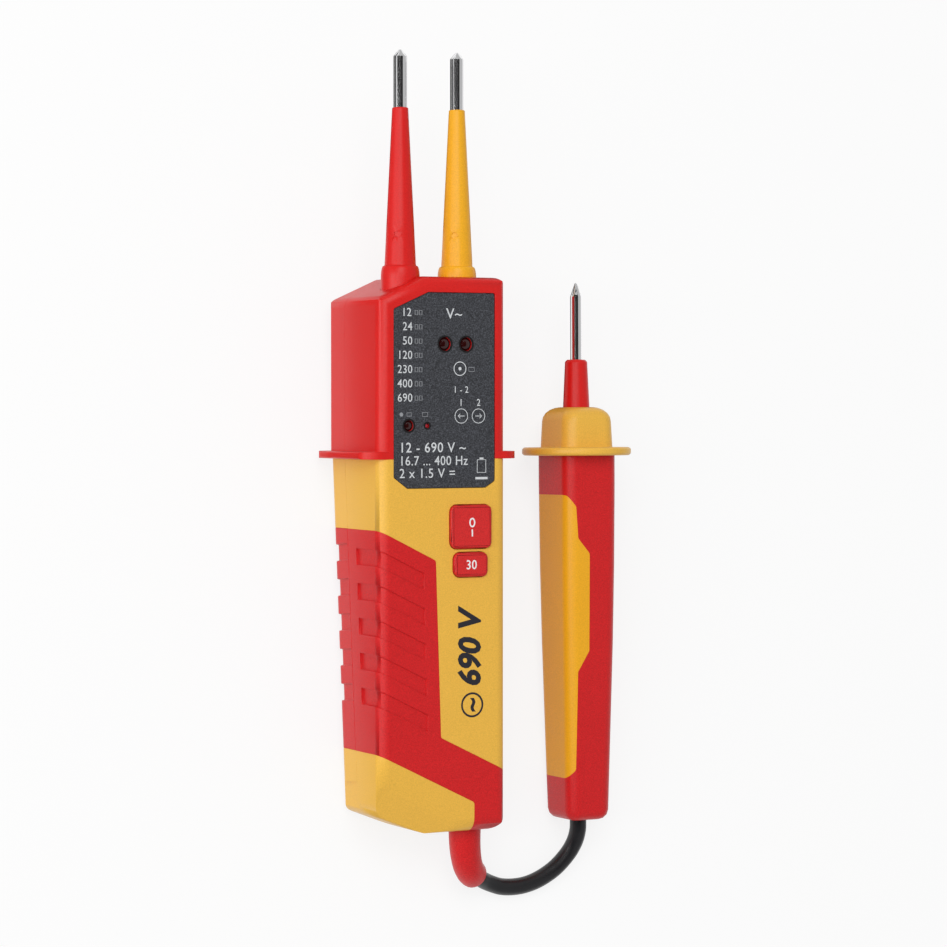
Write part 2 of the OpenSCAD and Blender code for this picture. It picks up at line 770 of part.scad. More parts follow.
// A key cap with a flange behind the wall and a stem on the switch.
module key_cap(at, size) translate([at.x, at.y, 0]) {
    top = depth + key_stand;
    intersection() {
        translate([0, 0, front_in - 1]) linear_extrude(top) key_plan(size, 0);
        bar_x(-size.y / 2, size.y / 2, 0, top, 0.8, -far, far);
        bar_y(-size.x / 2, size.x / 2, 0, top, 0.8, -far, far);
    }
    translate([0, 0, front_in - fit - key_flange_t]) linear_extrude(key_flange_t)
        key_plan(size + [1.8, 0.6], 0);
    cylinder_between(1.8, plunger_top, front_in - fit - key_flange_t + 0.1);
}
module cylinder_between(r, z0, z1) translate([0, 0, z0]) cylinder(r = r, h = z1 - z0);

plunger_r = 1.6;
module key_plunger(at) post(at, plunger_r, plunger_top - 3.2, plunger_top);
module key_switch(at) difference() {
    block([at.x - 3, at.y - 3, board_top], [at.x + 3, at.y + 3, board_top + switch_t]);
    post(at, plunger_r + 0.05, plunger_top - 3.2 - key_travel - 0.2, depth);
}

module power_button() color("crimson") housing_place() key_cap(power_at, power_size);
module test_button() color("crimson") housing_place() key_cap(test_at, test_size);
module power_plunger() color("black") housing_place() key_plunger(power_at);
module test_plunger() color("black") housing_place() key_plunger(test_at);
module power_switch() color("dimgray") housing_place() key_switch(power_at);
module test_switch() color("dimgray") housing_place() key_switch(test_at);

// ---------- board and what is on it ----------

board_half_w = 12.4;
board_low = 20.6 - body_l;
board_high = 38;
led_t = 1.2;

module main_board() color("green") housing_place()
    block([-board_half_w, board_low, board_z], [board_half_w, board_high, board_top]);

module indicator_leds() color("white") housing_place() {
    for (at = concat(pointer_at, [contact_at, battery_at]))
        block([at.x - 1, at.y - 1.6, board_top], [at.x + 1, at.y + 1.6, board_top + led_t]);
    for (k = [1:levels - 2]) block([level_x - 0.8, level_y(k) - 0.5, board_top],
        [level_x + 0.8, level_y(k) + 0.5, board_top + 0.8]);
}

module processor() color("black") housing_place() block([-9, -24, board_top], [1, -14, board_top + 1.4]);

module rod_y(x, y0, y1, z, r) translate([x, y0, z]) rotate([-90, 0, 0]) cylinder(r = r, h = y1 - y0);

divider_y = head_l - 29;
divider_l = 10;
module divider_resistors() color("lightblue") housing_place() for (x = [-9, -5, 5, 9])
    rod_y(x, divider_y, divider_y + divider_l, board_z - 1.7, 1.7);

module load_thermistors() color("royalblue") housing_place() for (y = [-8, 4])
    post([0, y], 5, board_z - 4, board_z);

module buzzer() color("black") housing_place() difference() {
    post([0, 18], 5, board_z - 4.5, board_z);
    post([0, 18], 0.8, board_z - 5, board_z - 3);
}

// ---------- prongs ----------

prong_foot = head_l - wall - 7;      // inner end of a sleeve
shank_r = 1.5;
tip_cone = 2;

module prong_pin(s) translate([s * prong_pitch / 2, 0, prong_z]) turned_y([[0, prong_foot - 5.4],
    [shank_r, prong_foot - 5.4], [shank_r, head_l + sleeve_l], [pin_r, head_l + sleeve_l],
    [pin_r, head_l + sleeve_l + pin_l - tip_cone], [0.4, head_l + sleeve_l + pin_l],
    [0, head_l + sleeve_l + pin_l]]);

// The sleeve flares into a skirt that the head's top wall holds.
module prong_sleeve(s) translate([s * prong_pitch / 2, 0, prong_z]) difference() {
    flare = [for (k = [0:6]) let (a = 90 * k / 6) [sleeve_r0 + 0.4 + (skirt_r - sleeve_r0 - 0.4) * cos(a),
        head_l - 0.2 + 3.4 * sin(a)]];
    turned_y(concat([[shank_r + 0.02, prong_foot], [skirt_r + 1, prong_foot],
        [skirt_r + 1, prong_foot + 1.8], [skirt_r, prong_foot + 1.8]], flare,
        [[sleeve_r0, head_l + 3.4], [sleeve_r1, head_l + sleeve_l - 0.2],
         [sleeve_r1 - 0.2, head_l + sleeve_l], [shank_r + 0.02, head_l + sleeve_l]]));
    for (a = [-38, 142]) rotate([0, a, 0]) translate([0, head_l + 12.5, sleeve_r0 - 0.75])
        cylinder(r = 0.9, h = 3);
}

module left_pin() color("silver") housing_place() prong_pin(-1);
module right_pin() color("silver") housing_place() prong_pin(1);
module left_sleeve() color("red") housing_place() prong_sleeve(-1);
module right_sleeve() color("orange") housing_place() prong_sleeve(1);

// Lugs that carry the current from the pins to the board.
module prong_terminals() color("gold") housing_place() for (s = [-1, 1]) difference() {
    union() {
        rod_y(s * prong_pitch / 2, prong_foot - 5.4, prong_foot - 1, prong_z, 2.6);
        block([s * prong_pitch / 2 - 2, board_high - 2.2, board_top],
              [s * prong_pitch / 2 + 2, prong_foot - 5, board_top + 1]);
    }
    rod_y(s * prong_pitch / 2, prong_foot - 5.5, prong_foot, prong_z, shank_r + 0.02);
}

// ---------- hand probe's main sizes ----------

probe_wall = 2.2;
inlay_t = 1;
tail_r = 3;                          // rounding of the tail
tail_y = -handle_l;
straight_l = 10;                     // the handle tapers from here down
function thinning(y) = handle_taper * pow(max(0, -y - straight_l) / (handle_l - straight_l), 1.6);
tail_half = (handle_d - thinning(tail_y + tail_r)) / 2;
probe_tilt = asin((disc_r - tail_half) / (handle_l - tail_r));

// ---------- lead ----------

lead_z = depth - lead_inset;
boot_steps = 10;
boot_end = [19.2, -15.6 - body_l, lead_z - 5.8];

// Middle line of the strain relief: a smooth bend from the housing's end down towards the table.
function bend(t) = let (p0 = [lead_x, -body_l, lead_z], p1 = p0 - [0, 8.5, 0.5],
        p3 = boot_end, p2 = p3 - [3.7, -1.7, -3.2])
    pow(1 - t, 3) * p0 + 3 * pow(1 - t, 2) * t * p1 + 3 * (1 - t) * t * t * p2 + pow(t, 3) * p3;
boot_in = 7.7;                        // the strain relief reaches this far into the housing
boot_route = concat([[lead_x, -body_l + boot_in, lead_z]], [for (k = [0:boot_steps]) bend(k / boot_steps)]);
boot_way = unit(bend(1) - bend(0.99));   // direction of the lead where it leaves the strain relief
boot_tip = on_floor(boot_end);
probe_way = [0, cos(probe_tilt), sin(probe_tilt)];
tail_point = [disc_at.x, disc_at.y, disc_r] - handle_l * probe_way;

// The lead's free stretch, from the strain relief round to the hand probe's tail.
lead_route = [boot_tip, on_floor(boot_end + boot_way), [22.2, -124.6, 5.6], [24.9, -125.9, 4.1],
    [27.9, -127.1, 3.2], [31.1, -128.1, 2.75], [34.9, -128.5, 2.63], [38.9, -128.3, 2.61],
    [42.9, -127.4, 2.63], [46.8, -125.8, 2.75], [50.2, -123.7, 3.2], [52.9, -121.1, 4], [54.9, -118.2, 5.2],
    [56, -115, 6.7], [56.3, -111.9, 7.9], tail_point - 0.8 * probe_way, tail_point - 0.02 * probe_way];

module strain_relief() color("red") housing_place() {
    hose(boot_route, concat([boot_r0], ramp(boot_r0, boot_r1, boot_steps)), lead_r + 0.15, 24);
    difference() {
        rod_y(lead_x, -body_l + boot_in - 1.6, -body_l + boot_in, lead_z, boot_r0 + 0.6);
        rod_y(lead_x, -body_l, -body_l + boot_in + 1, lead_z, boot_r0 - 0.9);
    }
}

module lead() color("black") swept(lead_route, [for (p = lead_route) lead_r], 10);

lead_in_l = 15;
inner_route = concat([[lead_x, -body_l + lead_in_l, lead_z]], [for (k = [0:boot_steps]) boot_route[k]],
    [boot_end - boot_way, boot_end - 0.02 * boot_way]);
module lead_inner_end() color("black") housing_place()
    swept(inner_route, [for (p = inner_route) lead_r], 10);

// A clamp that grips the lead just inside the housing, and stands on a pad of the front shell.
module lead_clamp() color("dimgray") housing_place() difference() {
    block([lead_x - 4.6, -body_l + 8, lead_z - 4.2], [lead_x + 4.6, -body_l + 12, front_in - 0.1]);
    rod_y(lead_x, -body_l + 7, -body_l + 13, lead_z, lead_r + 0.05);
}

// ---------- hand probe, drawn in its own frame: origin at the disc's middle, Y towards the tip ----------

// Puts the hand probe on the table: it lies on its disc and on its tail.
module probe_place() translate([disc_at.x, disc_at.y, disc_r]) rotate([probe_tilt, 0, 0]) children();

// A thin slice of the handle at y, drawn in by i.
module handle_slice(y, i) translate([0, y, 0]) rotate([90, 0, 0]) linear_extrude(0.01)
    round_rect(-(handle_w - thinning(y)) / 2 + i, (handle_w - thinning(y)) / 2 - i,
               -(handle_d - thinning(y)) / 2 + i, (handle_d - thinning(y)) / 2 - i,
               max(0.8, handle_r - i), $fn = 28);

module handle_form(i) {
    tail = [for (a = [0, 30, 60, 85]) [tail_y + i + tail_r * (1 - sin(a)), i + tail_r * (1 - cos(a))]];
    hull() {
        handle_slice(-disc_t / 2, i);
        handle_slice(-straight_l, i);
        for (share = [0.31, 0.52, 0.74]) handle_slice(-handle_l * share, i);
        for (t = tail) handle_slice(t[0], t[1]);
    }
}

// The yellow inlay seen from the front: [x, share of the handle's length, corner radius].
// It wraps the handle's left side.
inlay_points = [[-20, 0.117, 0], [-20, 0.885, 0], [-8.4, 0.89, 1.5], [-5.6, 0.86, 1.5], [-5.3, 0.594, 1.5],
    [-1.4, 0.538, 1.5], [-1.4, 0.275, 1.5], [-5.4, 0.234, 1.5], [-6.1, 0.148, 1.5], [-8.6, 0.117, 1.5]];
inlay_outline = soften([for (p = inlay_points) [p.x, -p.y * handle_l, p.z]]);
module inlay_prism() translate([0, 0, -handle_d]) linear_extrude(2 * handle_d) polygon(inlay_outline);

module probe_handle() color("red") probe_place() difference() {
    handle_form(0);
    handle_form(probe_wall);
    block([-far, -disc_t / 2 - 0.05, -far], [far, far, far]);
    difference() {
        inlay_prism();
        handle_form(inlay_t);
    }
    rod_y(0, tail_y - 1, tail_y + 5, 0, lead_r + fit);
}

module probe_inlay() color("orange") probe_place() intersection() {
    difference() {
        handle_form(0);
        handle_form(inlay_t);
    }
    inlay_prism();
}

// The nose: a bell over the handle's top with the round guard disc at its foot.
nose_crown = 4.4;
module nose_slice(y, i) translate([0, y, 0]) rotate([90, 0, 0]) linear_extrude(0.01)
    round_rect(-handle_w / 2 + i, handle_w / 2 - i, -handle_d / 2 + i, handle_d / 2 - i,
               max(1, handle_r + 0.6 - i * 0.3), $fn = 28);
module nose_form(i) hull() {
    nose_slice(0, 0.3 + i);
    for (a = [0, 18, 36, 54, 72, 86])
        nose_slice(disc_t / 2 + nose_l - nose_crown + (nose_crown - i) * sin(a),
                   0.7 + i + 4.6 * (1 - cos(a)));
}
module probe_nose() color("orange") probe_place() difference() {
    union() {
        nose_form(0);
        turned_y([[0, -disc_t / 2], [disc_r - 0.6, -disc_t / 2], [disc_r, -disc_t / 2 + 0.6],
            [disc_r, disc_t / 2 - 0.6], [disc_r - 0.6, disc_t / 2], [0, disc_t / 2]]);
        bar_y(-plug_w / 2, plug_w / 2, -plug_d / 2, plug_d / 2, handle_r - probe_wall, -plug_l, 0);
    }
    rod_y(0, -plug_l - 1, disc_t / 2 + nose_l - 2.4, 0, cone_foot_r + fit);
    rod_y(0, 0, far, 0, cone_r0 + fit);
    nose_seal_ring(0.04);
}
plug_w = handle_w - 2 * probe_wall - 2 * fit;
plug_d = handle_d - 2 * probe_wall - 2 * fit;
plug_l = 8;
cone_r0 = 4.1;
cone_r1 = 3.35;
cone_foot_r = 5;

module nose_seal_ring(g) difference() {
    bar_y(-plug_w / 2 - g, plug_w / 2 + g, -plug_d / 2 - g, plug_d / 2 + g, handle_r - probe_wall + g,
          -5 - g, -4 + g);
    bar_y(-plug_w / 2 + 0.6 + g, plug_w / 2 - 0.6 - g, -plug_d / 2 + 0.6 + g, plug_d / 2 - 0.6 - g,
          handle_r - probe_wall - 0.6, -6, -3);
}
module probe_nose_seal() color("dimgray") probe_place() nose_seal_ring(0);

cone_base = disc_t / 2 + nose_l;
tip_base = cone_base + cone_l;
tip_shank_r = 1.2;
tip_point = 4.3;
module probe_cone() color("red") probe_place() turned_y([[tip_shank_r + 0.02, cone_base - 6],
    [cone_foot_r, cone_base - 6], [cone_foot_r, cone_base - 2.5], [cone_r0, cone_base - 2.5],
    [cone_r0, cone_base], [cone_r1 + 0.1, tip_base - 0.7], [cone_r1 - 0.5, tip_base],
    [tip_shank_r + 0.02, tip_base]]);

module probe_pin() color("silver") probe_place() turned_y([[0, -22], [tip_shank_r, -22],
    [tip_shank_r, tip_base], [tip_r, tip_base], [tip_r, tip_base + tip_l - tip_point],
    [0.4, tip_base + tip_l - 0.3], [0, tip_base + tip_l]]);

// A slim board that stands between the handle's walls and carries the protective resistors.
probe_board_top = -20;
probe_board_low = tail_y + 25.8;
resistor_l = 14;
module probe_board() color("green") probe_place()
    block([-5.2, probe_board_low, -tip_shank_r - 1.4], [5.2, probe_board_top, -tip_shank_r]);
module probe_resistors() color("lightblue") probe_place() for (x = [-2.6, 2.6], k = [1, 2])
    rod_y(x, probe_board_low + k * (resistor_l + 6), probe_board_low + k * (resistor_l + 6) + resistor_l,
          -tip_shank_r + 2, 2);
lead_tail_l = 24;
module probe_lead_end() color("black") probe_place() rod_y(0, tail_y, tail_y + lead_tail_l, 0, lead_r);
module probe_lead_ferrule() color("silver") probe_place() difference() {
    rod_y(0, tail_y + probe_wall + 0.3, tail_y + probe_wall + 4.3, 0, lead_r + 1);
    rod_y(0, tail_y, tail_y + 10, 0, lead_r + 0.02);
}

// ---------- output ----------

front_shell();
rear_shell();
head_front_shell();
head_rear_shell();
front_grip();
rear_grip();
housing_seal();
housing_screws();
display_panel();
light_guide();
pointer_lenses();
contact_lens();
battery_lens();
power_button();
test_button();
power_plunger();
test_plunger();
power_switch();
test_switch();
main_board();
indicator_leds();
processor();
divider_resistors();
load_thermistors();
buzzer();
left_pin();
right_pin();
left_sleeve();
right_sleeve();
prong_terminals();
cell_left();
cell_right();
cell_contacts();
cell_springs();
cell_cover();
cell_cover_seal();
cell_cover_screw();
strain_relief();
lead();
lead_inner_end();
lead_clamp();
probe_handle();
probe_inlay();
probe_nose();
probe_nose_seal();
probe_cone();
probe_pin();
probe_board();
probe_resistors();
probe_lead_end();
probe_lead_ferrule();
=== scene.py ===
"""Looks of a two-pole voltage tester that lies on its back beside its hand probe."""
from __future__ import annotations

import logging
import math
from dataclasses import dataclass, field
from enum import Enum
from functools import cache
from typing import Any, Iterable, Sequence

import bmesh
import bpy
from mathutils import Matrix, Vector


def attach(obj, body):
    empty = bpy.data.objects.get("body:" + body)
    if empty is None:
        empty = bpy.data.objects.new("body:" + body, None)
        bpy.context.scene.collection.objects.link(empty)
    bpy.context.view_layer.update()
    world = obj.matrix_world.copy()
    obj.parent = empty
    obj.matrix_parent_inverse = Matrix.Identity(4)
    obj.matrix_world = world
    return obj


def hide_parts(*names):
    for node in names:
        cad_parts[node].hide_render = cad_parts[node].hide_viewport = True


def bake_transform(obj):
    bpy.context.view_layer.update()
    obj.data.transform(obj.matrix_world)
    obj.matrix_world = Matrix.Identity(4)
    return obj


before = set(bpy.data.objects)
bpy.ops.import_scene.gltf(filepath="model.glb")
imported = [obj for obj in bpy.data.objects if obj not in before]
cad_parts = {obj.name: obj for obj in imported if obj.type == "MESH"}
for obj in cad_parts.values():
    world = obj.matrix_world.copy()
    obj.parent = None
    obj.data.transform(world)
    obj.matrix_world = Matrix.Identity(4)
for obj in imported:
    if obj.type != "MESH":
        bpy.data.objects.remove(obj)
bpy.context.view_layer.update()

log = logging.getLogger("tester")
MM = 0.001
WELD = 0.003  # mm between vertices that count as one
SMOOTH = 35  # degrees under which an edge of a print is shaded smooth
Colour = tuple[float, float, float]
Place = tuple[float, float, float]
Points = Iterable[tuple[float, float]]


def mm(*xyz: float) -> Vector:
    """A point given in millimetres."""
    return Vector(xyz) * MM


# The housing is described with its front face level; on the floor its slanted back lies flat.
HOUSING = (Matrix.Translation(mm(0, 5, 0)) @ Matrix.Rotation(math.radians(4.8), 4, "X")
           @ Matrix.Translation(mm(0, 1.1, 0)))


# ---------- shader maths ----------


class Wire:
    """A shader socket that adds Math nodes when Python operators are used on it."""

    def __init__(self, graph: "Graph", socket: bpy.types.NodeSocket) -> None:
        """Keeps the graph that the socket belongs to."""
        self.graph, self.socket = graph, socket

    def _math(self, operation: str, other: Any) -> "Wire":
        """Adds one Math node.

        Args:
            operation: The node's operation.
            other: Its second value or wire. This wire is the first.

        Returns:
            The wire that carries the result.
        """
        return self.graph.add("ShaderNodeMath", {"operation": operation}, {0: self, 1: other})

    def __add__(self, other: Any) -> "Wire":
        """Sum."""
        return self._math("ADD", other)

    def __sub__(self, other: Any) -> "Wire":
        """Difference."""
        return self._math("SUBTRACT", other)

    def __mul__(self, other: Any) -> "Wire":
        """Product."""
        return self._math("MULTIPLY", other)


class Graph:
    """The node tree of one material."""

    def __init__(self, name: str) -> None:
        """Starts a material that holds only its output."""
        self.material = bpy.data.materials.new(name)
        self.material.use_nodes = True
        self.tree = self.material.node_tree
        self.tree.nodes.clear()
        self.output = self.tree.nodes.new("ShaderNodeOutputMaterial")

    def add(self, kind: str, settings: dict[str, Any] | None = None,
            values: dict[Any, Any] | None = None, out: Any = 0) -> Wire:
        """Adds a node.

        Args:
            kind: The node's type.
            settings: Attributes set before its sockets.
            values: Constants or wires for its inputs, by name or number.
            out: Which output is returned.

        Returns:
            The chosen output.
        """
        node = self.tree.nodes.new(kind)
        for key, value in (settings or {}).items():
            if key == "stops":
                ramp = node.color_ramp
                while len(ramp.elements) < len(value):
                    ramp.elements.new(0.5)
                for element, (place, colour) in zip(ramp.elements, value):
                    element.position, element.color = place, colour
            else:
                setattr(node, key, value)
        for key, value in (values or {}).items():
            if isinstance(value, Wire):
                self.tree.links.new(value.socket, node.inputs[key])
            elif isinstance(value, tuple) and len(value) == 3 and node.inputs[key].type == "RGBA":
                node.inputs[key].default_value = (*value, 1)
            else:
                node.inputs[key].default_value = value
        return Wire(self, node.outputs[out])

    def place(self) -> Wire:
        """Object coordinates."""
        return self.add("ShaderNodeTexCoord", out="Object")

    def noise(self, size: float, detail: float = 2, rough: float = 0.5) -> Wire:
        """Noise with features of a real size.

        Args:
            size: Width of a feature in millimetres.
            detail: Octaves.
            rough: How strong the fine octaves are.

        Returns:
            A value around one half.
        """
        return self.add("ShaderNodeTexNoise", None, {
            "Vector": self.place(), "Scale": 1 / (size * MM), "Detail": detail, "Roughness": rough})

    def blend(self, factor: Any, a: Any, b: Any) -> Wire:
        """A colour mix."""
        return self.add("ShaderNodeMix", {"data_type": "RGBA"}, {0: factor, 6: a, 7: b}, out=2)

    def bump(self, height: Any, distance: float) -> Wire:
        """A normal from heights; distance is in millimetres."""
        values = {"Height": height, "Distance": distance * MM, "Strength": 1}
        return self.add("ShaderNodeBump", None, values)

    def surface(self, **values: Any) -> bpy.types.Material:
        """Closes the tree with a Principled shader.

        Args:
            **values: Its sockets, with underscores for blanks.

        Returns:
            The finished material.
        """
        sockets = {key.replace("_", " "): value for key, value in values.items()}
        shader = self.add("ShaderNodeBsdfPrincipled", None, sockets)
        self.tree.links.new(shader.socket, self.output.inputs["Surface"])
        return self.material


# ---------- finishes ----------


@dataclass(frozen=True)
class Moulded:
    """Satin moulded plastic: a very fine sparked grain with a little unevenness in colour and gloss.

    Grain and cloud are the widths of a fine and of a broad feature in millimetres. The pairs say how strongly
    the cloud and the grain change the colour and the gloss.
    """

    name: str
    colour: Colour
    roughness: float = 0.34
    grain: float = 0.36
    relief: float = 0.025
    mottle: float = 0.10
    specular: float = 0.3
    cloud: float = 14
    tone_parts: tuple[float, float] = (0.2, 2.4)
    gloss_parts: tuple[float, float] = (0.10, 0.06)

    def make(self) -> bpy.types.Material:
        """Builds the material."""
        g = Graph(self.name)
        grain = g.noise(self.grain, 3, 0.6)
        cloud = g.noise(self.cloud, 3, 0.55)
        dark = tuple(c * (1 - self.mottle) for c in self.colour)
        light = tuple(min(1.0, c * (1 + self.mottle) + 0.002) for c in self.colour)
        broad, fine = self.tone_parts
        tone = g.blend(cloud * broad + grain * fine - ((broad + fine) / 2 - 0.5), dark, light)
        broad, fine = self.gloss_parts
        gloss = cloud * broad + grain * fine + (self.roughness - (broad + fine) / 2)
        return g.surface(Base_Color=tone, Roughness=gloss, Specular_IOR_Level=self.specular,
                         Normal=g.bump(grain, self.relief))


@dataclass(frozen=True)
class SoftTouch(Moulded):
    """The grips' overmoulded rubber: duller, with a dense fine stipple."""

    roughness: float = 0.37
    grain: float = 0.38
    relief: float = 0.07
    mottle: float = 0.2
    specular: float = 0.32


@dataclass(frozen=True)
class Foil:
    """The display panel's dark printed foil, with its sandy speckle.

    Grain is the width of a speck in millimetres, and stops are places on the speckle's ramp with their
    brightness.
    """

    name: str
    colour: Colour
    grain: float = 0.42
    relief: float = 0.012
    roughness: float = 0.42
    stops: tuple[tuple[float, float], ...] = ((0.36, 0.5), (0.5, 1), (0.66, 2.1))

    def make(self) -> bpy.types.Material:
        """Builds the material."""
        g = Graph(self.name)
        sand = g.noise(self.grain, 2, 0.7)
        ramp = [(place, (*[c * gain for c in self.colour], 1)) for place, gain in self.stops]
        fleck = g.add("ShaderNodeValToRGB", {"stops": ramp}, {"Fac": sand})
        return g.surface(Base_Color=fleck, Roughness=sand * 0.15 + self.roughness, Specular_IOR_Level=0.35,
                         Normal=g.bump(sand, self.relief))


@dataclass(frozen=True)
class Metal:
    """Bright turned metal with faint lathe marks, which are far finer along its axis than round it."""

    name: str
    colour: Colour
    roughness: float = 0.14
    relief: float = 0.0002
    lathe: Place = (30.0, 9000.0, 30.0)

    def make(self) -> bpy.types.Material:
        """Builds the material."""
        g = Graph(self.name)
        turned = g.add("ShaderNodeMapping", None, {"Vector": g.place(), "Scale": self.lathe})
        line = g.add("ShaderNodeTexNoise", None, {"Vector": turned, "Scale": 1.0, "Detail": 2.0})
        haze = g.noise(2.5, 3)
        gloss = haze * 0.01 + line * 0.02 + (self.roughness - 0.02)
        return g.surface(Base_Color=self.colour, Metallic=1.0, Roughness=gloss,
                         Normal=g.bump(line, self.relief))


@dataclass(frozen=True)
class Lens:
    """A clear tinted lens over a dark hole, drawn opaque: its colour paints the hole's shade along with the
    tint.
    """

    name: str
    colour: Colour

    def make(self) -> bpy.types.Material:
        """Builds the material."""
        g = Graph(self.name)
        # Noise mixes in a darker copy of the colour at random: painted shade of the hole seen through the lens.
        hole_shade = g.noise(0.9, 2)
        deep = tuple(c * 0.35 for c in self.colour)
        return g.surface(Base_Color=g.blend(hole_shade, deep, self.colour), Roughness=0.08,
                         Specular_IOR_Level=0.5, Coat_Weight=0.3, Coat_Roughness=0.04)


@dataclass(frozen=True)
class Sheath:
    """The lead's flexible sheath: soft black with a faint drawn grain along it."""

    name: str
    colour: Colour

    def make(self) -> bpy.types.Material:
        """Builds the material."""
        g = Graph(self.name)
        grain = g.noise(0.25, 3, 0.6)
        scuff = g.noise(6, 4, 0.6)
        grey = tuple(c + 0.008 for c in self.colour)
        return g.surface(Base_Color=g.blend(scuff, self.colour, grey), Roughness=scuff * 0.15 + 0.25,
                         Specular_IOR_Level=0.45, Normal=g.bump(grain, 0.015))


@dataclass(frozen=True)
class Ink:
    """Printed legend."""

    name: str
    colour: Colour

    def make(self) -> bpy.types.Material:
        """Builds the material."""
        g = Graph(self.name)
        worn = g.noise(0.3, 2)
        thin = tuple(c * 0.86 for c in self.colour)
        return g.surface(Base_Color=g.blend(worn, thin, self.colour), Roughness=0.5, Specular_IOR_Level=0.3)


class Finish(Enum):
    """Every finish of the tester."""

    RED = Moulded("red_plastic", (0.64, 0.009, 0.007))
    YELLOW = Moulded("yellow_plastic", (0.79, 0.445, 0.06))
    AMBER = Moulded("amber_plastic", (0.83, 0.395, 0.012))
    RED_SOFT = SoftTouch("red_soft", (0.60, 0.009, 0.011))
    RED_KEY = SoftTouch("red_key", (0.62, 0.018, 0.018))
    PANEL = Foil("panel_grey", (0.040, 0.042, 0.049))
    # Near-black red: the lens's red tint together with painted shade of the dark hole behind it.
    LENS = Lens("lens_red", (0.035, 0.003, 0.003))
    DOT = Lens("dot_red", (0.75, 0.05, 0.08))
    PIN = Metal("chromed_pin", (0.92, 0.92, 0.93), 0.08)
    STEEL = Metal("steel", (0.55, 0.55, 0.56), 0.3)
    BRASS = Metal("brass", (0.78, 0.58, 0.25), 0.3)
    BOARD = Moulded("board_green", (0.02, 0.16, 0.07), 0.35)
    BLACK = Moulded("black_plastic", (0.018, 0.018, 0.02))
    CLEAR = Lens("clear_plastic", (0.8, 0.8, 0.78))
    CERAMIC = Moulded("ceramic_blue", (0.08, 0.28, 0.58), 0.3)
    CELL = Moulded("cell_sleeve", (0.05, 0.06, 0.07), 0.3)
    CORD = Sheath("black_rubber", (0.006, 0.006, 0.008))
    SEAL = Sheath("seal_rubber", (0.03, 0.03, 0.03))
    WHITE_INK = Ink("legend_white", (0.66, 0.68, 0.70))
    KEY_INK = Ink("key_white", (0.88, 0.86, 0.86))
    # Black ink for rings that paint the shade of the lens recesses and of the gaps round the lenses.
    SHADE_RING_INK = Ink("painted_shade_ring_black", (0.008, 0.007, 0.008))
    GREY_INK = Ink("legend_grey", (0.30, 0.31, 0.33))
    DARK_INK = Ink("mark_dark", (0.022, 0.021, 0.030))


@cache
def material(finish: Finish) -> bpy.types.Material:
    """The one material of a finish."""
    return finish.value.make()


# ---------- pieces ----------


def dress(obj: bpy.types.Object, finish: Finish) -> None:
    """Gives a whole object one finish."""
    obj.data.materials.clear()
    obj.data.materials.append(material(finish))


def new_object(name: str, mesh: bmesh.types.BMesh) -> bpy.types.Object:
    """Turns a bmesh into an object of the scene, and frees the bmesh."""
    data = bpy.data.meshes.new(name)
    mesh.to_mesh(data)
    mesh.free()
    obj = bpy.data.objects.new(name, data)
    bpy.context.scene.collection.objects.link(obj)
    return obj


def piece(name: str, mesh: bmesh.types.BMesh, finish: Finish, body: str) -> bpy.types.Object:
    """Turns a bmesh into a piece of the tester.

    Args:
        name: The object's name.
        mesh: Its mesh in metres, in the row's frame. It is freed.
        finish: Its finish.
        body: The CAD body that it rides on.

    Returns:
        The new object.
    """
    obj = new_object(name, mesh)
    obj.data.set_sharp_from_angle(angle=math.radians(SMOOTH))
    dress(obj, finish)
    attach(obj, body)
    log.info("%s: %d faces on %s", name, len(obj.data.polygons), body)
    return obj


@dataclass
class Edge:
    """How a CAD node's edges are broken.

    The width is in millimetres and steps are those of the round. Edges sharper than the angle are rounded,
    and faces that differ by less than the flat angle count as one. Both are in degrees. Clamp holds the width
    back to the node's shortest edges, for nodes on which a free width throws spikes.
    """

    width: float = 0.18
    steps: int = 2
    angle: float = 32
    flat: float = 0.4
    clamp: bool = False


def soften_node(node: str, edge: Edge | None) -> None:
    """Welds a CAD node, joins its flat faces, rounds its edges and shades it smooth, all with modifiers.

    Args:
        node: The node's name.
        edge: How its edges are broken, or None where they stay as they are.
    """
    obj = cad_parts[node]
    obj.data.shade_smooth()
    weld = obj.modifiers.new("weld", "WELD")
    weld.merge_threshold = WELD * MM
    if edge is None:
        return
    flat = obj.modifiers.new("flat_faces", "DECIMATE")
    flat.decimate_type, flat.angle_limit = "DISSOLVE", math.radians(edge.flat)
    bevel = obj.modifiers.new("edges", "BEVEL")
    bevel.width, bevel.segments = edge.width * MM, edge.steps
    bevel.limit_method, bevel.angle_limit = "ANGLE", math.radians(edge.angle)
    bevel.use_clamp_overlap = edge.clamp
    shade = obj.modifiers.new("shading", "WEIGHTED_NORMAL")
    shade.mode, shade.weight, shade.keep_sharp = "FACE_AREA", 50, False


def finish_nodes(rows: Iterable[tuple[str, Finish, Edge | None]]) -> None:
    """Softens and dresses CAD nodes.

    Args:
        rows: Each node's name, its finish and how its edges are broken.
    """
    for node, finish, edge in rows:
        soften_node(node, edge)
        dress(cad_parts[node], finish)


